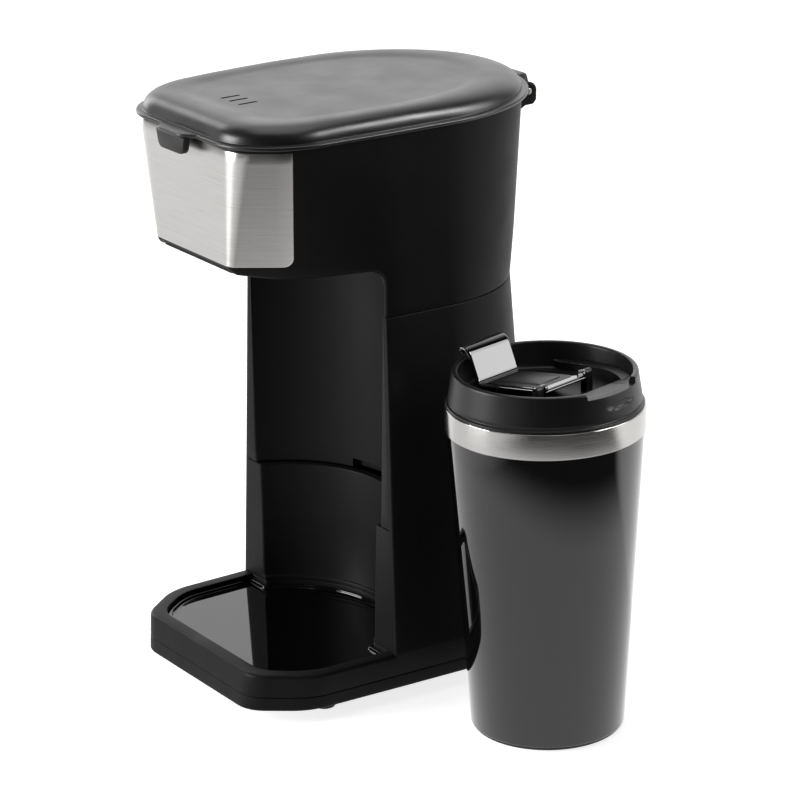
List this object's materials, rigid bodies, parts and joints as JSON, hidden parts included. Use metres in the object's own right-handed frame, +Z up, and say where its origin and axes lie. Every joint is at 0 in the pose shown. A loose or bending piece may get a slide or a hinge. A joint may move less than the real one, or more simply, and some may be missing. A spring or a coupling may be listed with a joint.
{
  "type": "drip coffee maker",
  "caption": "Compact single-cup drip coffee maker with a hinged lid and cup bay, with a lidded travel mug standing beside it.",
  "frame": {"origin": "centre of the set's bounding box at the level the feet and the mug stand on", "axes": "+Z up, -Y towards the front of the machine, +X towards the mug at the machine's right-hand side"},
  "size_m": [0.2328, 0.1882, 0.2754],
  "materials": {
    "abs_black": "fine textured matt moulding",
    "lid_grey": "fine textured satin moulding",
    "steel": "horizontally brushed",
    "gloss_black": "polished",
    "rubber_black": "matt",
    "grey_plastic": "satin",
    "aluminium": "extruded",
    "silicone": "translucent satin",
    "mesh": "fine woven mesh",
    "screw_steel": "plated",
    "cream": "moulded"
  },
  "bodies": {
    "machine": {"base_plate": "abs_black", "feet": "rubber_black", "base_screws": "screw_steel", "lower_housing": "abs_black", "column_shell": "abs_black", "column_front_lower": "abs_black", "column_front_upper": "abs_black", "upper_housing": "abs_black", "front_panel": "steel", "reservoir": "abs_black", "filter_holder": "abs_black", "filter_mesh": "mesh", "outlet_spout": "abs_black", "hinge_pin": "screw_steel", "heater_tube": "aluminium", "heater_element": "aluminium", "heater_bracket": "aluminium", "thermostat": "cream", "thermal_fuse": "cream", "feed_hose": "silicone", "check_valve": "cream", "valve_hose": "silicone", "riser_hose": "silicone", "hose_clamps": "screw_steel", "switch_body": "abs_black", "terminal_block": "cream", "cord_bushing": "rubber_black"},
    "lid": {"lid": "lid_grey", "lid_catch": "grey_plastic", "lid_liner": "abs_black", "shower_plate": "abs_black"},
    "button": {"power_button": "abs_black"},
    "tray": {"drip_tray": "gloss_black"},
    "mug": {"mug_shell": "gloss_black", "mug_liner": "steel", "mug_band": "steel", "mug_foot": "rubber_black"},
    "mug_lid": {"mug_lid": "abs_black", "mug_seal": "rubber_black", "flap_pin": "screw_steel"},
    "flap": {"mug_flap": "gloss_black", "flap_stopper": "rubber_black"}
  },
  "joints": [
    {"name": "lid_hinge", "type": "hinge", "parent": "machine", "child": "lid", "pos_m": [-0.0494, 0.08985, 0.2597], "axis": [-1, 0, 0], "range_deg": [0, 100]},
    {"name": "button_press", "type": "slide", "parent": "machine", "child": "button", "axis": [-1, 0, 0], "range_m": [0, 0.002], "stiffness_N_per_m": 400},
    {"name": "tray_lift", "type": "slide", "parent": "machine", "child": "tray", "axis": [0, 0, 1], "range_m": [0, 0.03]},
    {"name": "mug_lift", "type": "slide", "parent": "machine", "child": "mug", "axis": [0, 0, 1], "range_m": [0, 0.08]},
    {"name": "mug_lid_lift", "type": "slide", "parent": "mug", "child": "mug_lid", "axis": [0, 0, 1], "range_m": [0, 0.03]},
    {"name": "flap_hinge", "type": "hinge", "parent": "mug_lid", "child": "flap", "pos_m": [0.08194, 0.0224, 0.1639], "axis": [-0.225, 0.9744, 0], "range_deg": [0, 95]}
  ]
}
